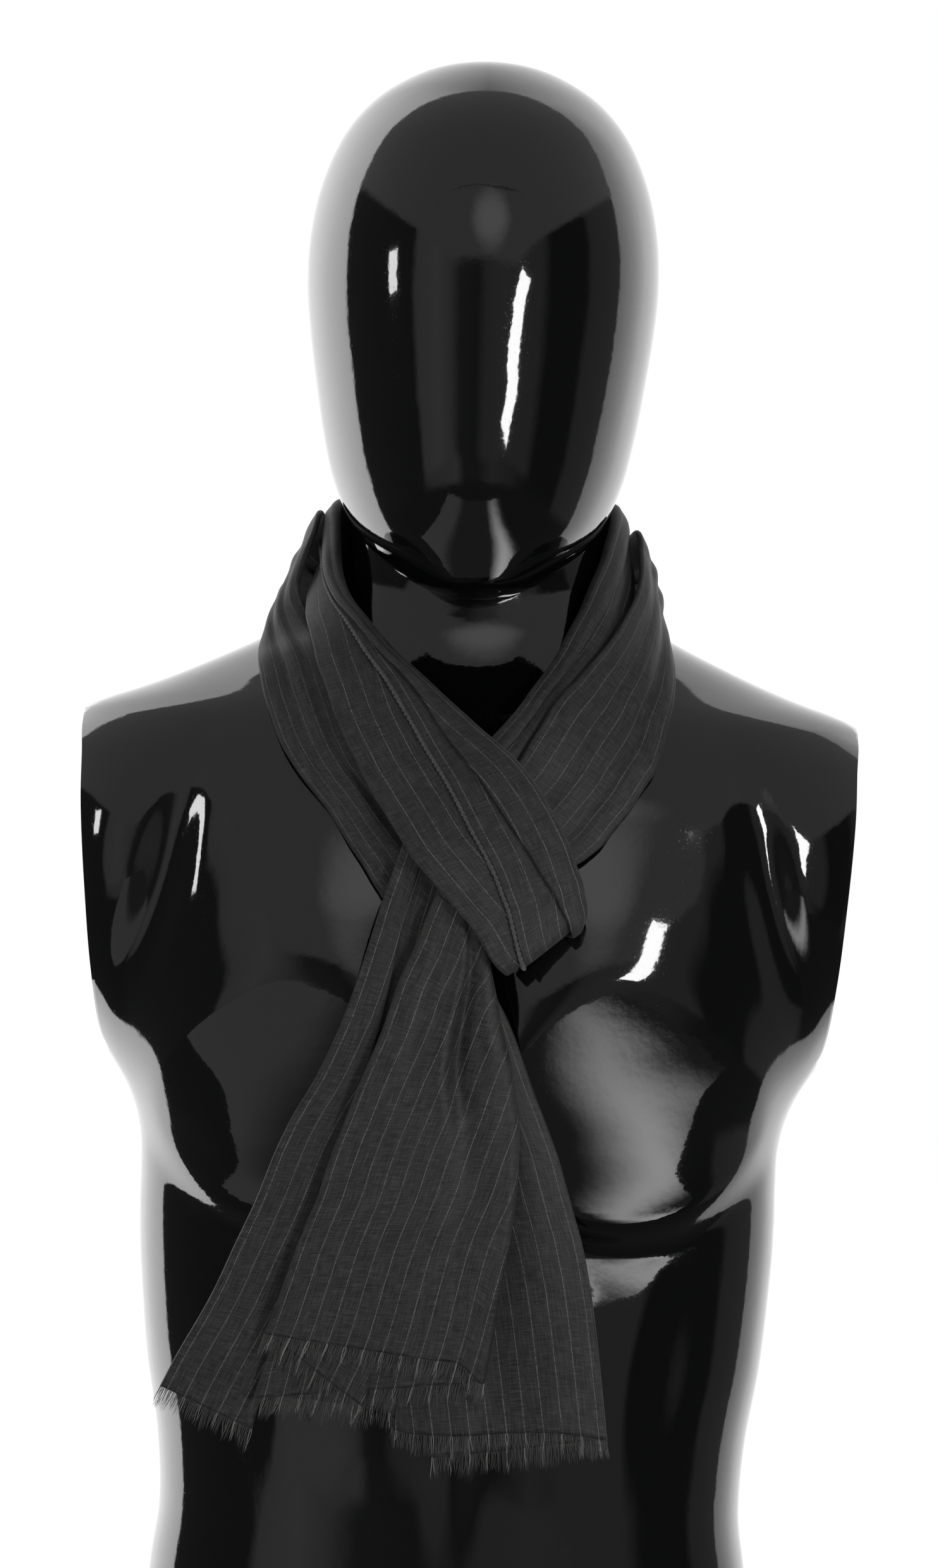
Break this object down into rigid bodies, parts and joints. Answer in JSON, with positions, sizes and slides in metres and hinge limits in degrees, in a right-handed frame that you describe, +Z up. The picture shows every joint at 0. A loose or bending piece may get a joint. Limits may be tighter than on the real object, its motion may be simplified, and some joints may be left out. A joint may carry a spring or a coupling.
{
  "type": "silk scarf on limbless display bust",
  "caption": "Long pinstriped silk scarf with frayed ends, worn in a pulled-through loop round the neck of a smooth glossy head-and-torso display form without arms.",
  "frame": {"origin": "centre of the display bust's flat base", "axes": "+Z up through the crown of the head, -Y out of the chest, +X to the right as the front is seen"},
  "size_m": [0.362, 0.2509, 0.724],
  "materials": {
    "gloss_form": "high gloss black lacquer on a smooth hollow form",
    "cloth": "matte slubby charcoal silk with fine pale pinstripes about 8 mm apart",
    "whipped_edge": "rolled selvedge, whipped with thread",
    "fringe": "loose frayed silk threads"
  },
  "bodies": {
    "root": {"form_bust": "gloss_form", "loop_front": "cloth", "loop_back": "cloth", "wrap_inner": "cloth", "wrap_outer": "cloth", "strand_inner": "cloth", "strand_outer": "cloth", "tail_front": "cloth", "tail_back": "cloth", "loop_front_hem": "whipped_edge", "fringe_front": "fringe", "fringe_back": "fringe"}
  },
  "joints": []
}
